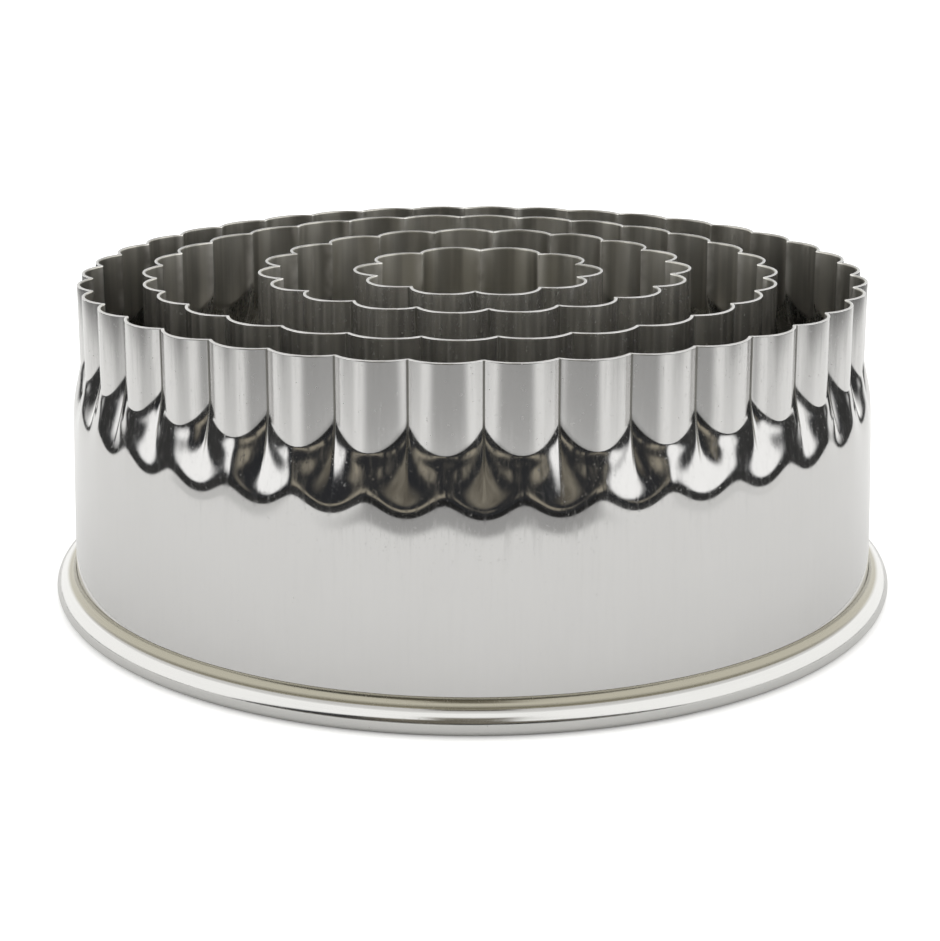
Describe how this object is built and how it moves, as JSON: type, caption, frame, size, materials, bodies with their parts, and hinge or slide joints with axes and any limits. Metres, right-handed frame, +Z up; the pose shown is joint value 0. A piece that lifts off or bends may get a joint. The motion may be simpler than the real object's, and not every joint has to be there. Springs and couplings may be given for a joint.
{
  "type": "biscuit cutter",
  "caption": "Nest of fluted round biscuit cutters in bright sheet steel: scalloped cutting edges up, scooped shoulders, plain bands and rolled rims to stand and press on.",
  "frame": {"origin": "on the table, under the middle of the outer cutter", "axes": "+Z up from the rims to the cutting edges, -Y towards the front; each cutter lifts out along +Z"},
  "size_m": [0.109, 0.109, 0.0406],
  "materials": {
    "bright_steel": "bright rolled stainless sheet, mirror-like with fine vertical handling scratches",
    "rim_steel": "bright rolled stainless sheet, polished bead with faint rolling lines around it"
  },
  "bodies": {
    "outer_cutter": {"outer_wall": "bright_steel", "outer_rim": "rim_steel"},
    "second_cutter": {"second_wall": "bright_steel", "second_rim": "rim_steel"},
    "third_cutter": {"third_wall": "bright_steel", "third_rim": "rim_steel"},
    "inner_cutter": {"inner_wall": "bright_steel", "inner_rim": "rim_steel"}
  },
  "joints": [
    {"name": "second_lift", "type": "slide", "parent": "outer_cutter", "child": "second_cutter", "axis": [0, 0, 1], "range_m": [0, 0.046]},
    {"name": "third_lift", "type": "slide", "parent": "outer_cutter", "child": "third_cutter", "axis": [0, 0, 1], "range_m": [0, 0.046]},
    {"name": "inner_lift", "type": "slide", "parent": "outer_cutter", "child": "inner_cutter", "axis": [0, 0, 1], "range_m": [0, 0.046]}
  ]
}
